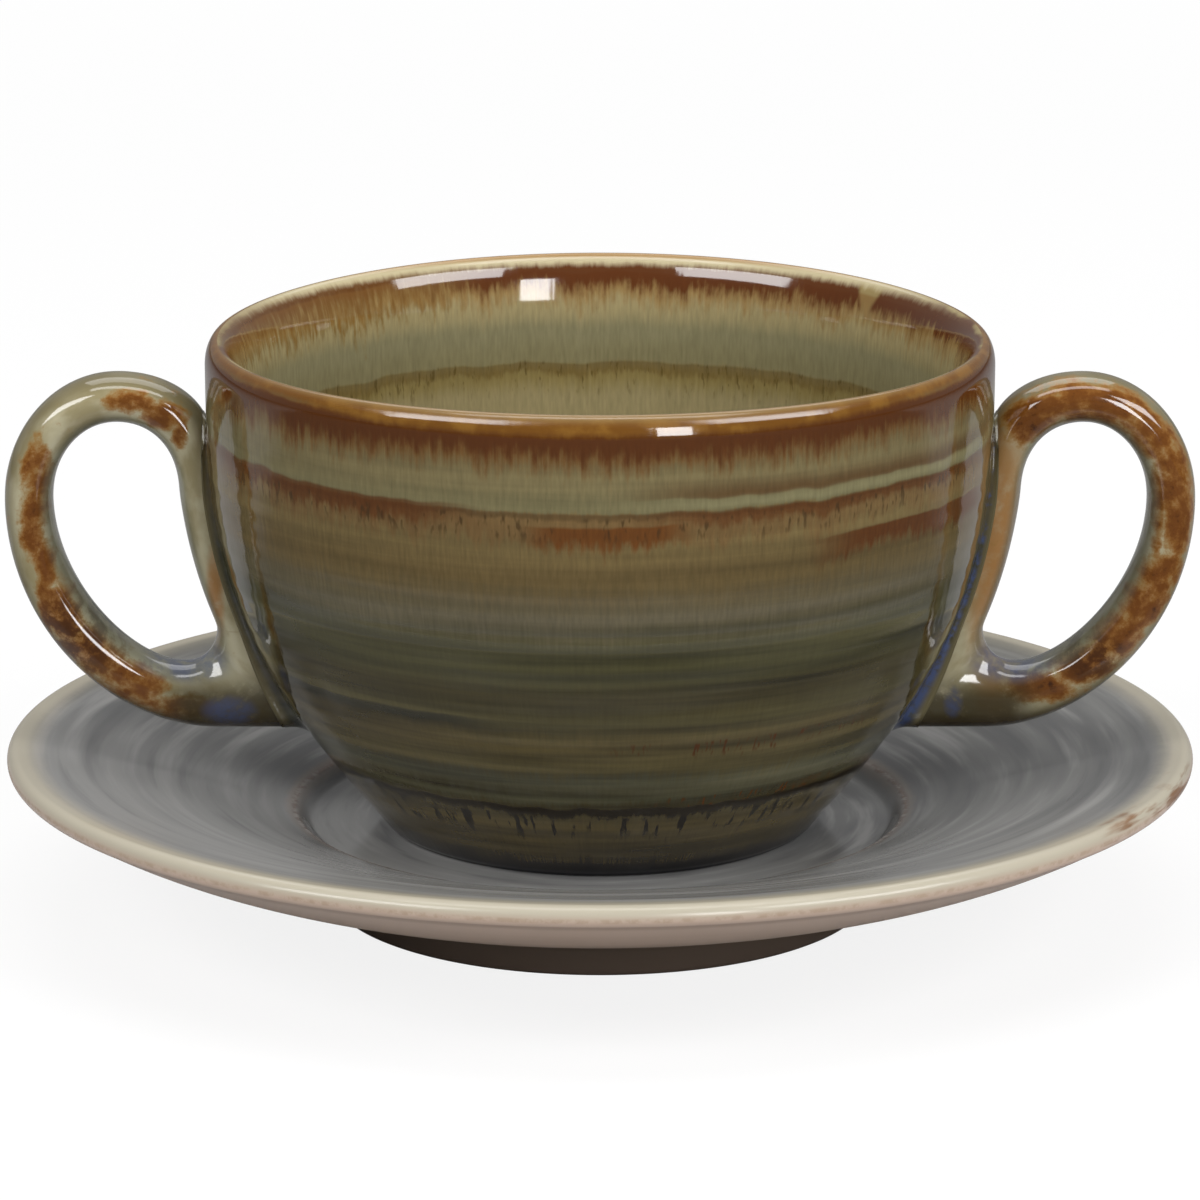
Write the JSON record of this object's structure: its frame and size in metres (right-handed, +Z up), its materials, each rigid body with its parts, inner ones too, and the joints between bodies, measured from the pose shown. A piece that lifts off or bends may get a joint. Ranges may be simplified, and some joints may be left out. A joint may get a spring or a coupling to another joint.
{
  "type": "bouillon cup",
  "caption": "Round broth cup with a swelling wall and a loop handle on each side, standing in the sunk well of a wide footed saucer.",
  "frame": {"origin": "on the table under the middle of the saucer", "axes": "+Z up, with the handles along -X and +X"},
  "size_m": [0.149, 0.149, 0.0732],
  "materials": {
    "saucer_glaze": "glossy grey reactive glaze with a beige lip and underside",
    "cup_glaze": "glossy olive and rust reactive glaze in bands and runs",
    "handle_glaze": "glossy celadon glaze that breaks to rust on the ridges",
    "seam_glaze": "glossy pooled blue-grey glaze"
  },
  "bodies": {
    "saucer": {"saucer": "saucer_glaze"},
    "cup": {"bowl": "cup_glaze", "left_handle": "handle_glaze", "right_handle": "handle_glaze", "left_slip_seam": "seam_glaze", "right_slip_seam": "seam_glaze"}
  },
  "joints": [
    {"name": "cup_lift", "type": "slide", "parent": "saucer", "child": "cup", "axis": [0, 0, 1], "range_m": [0, 0.1]}
  ]
}
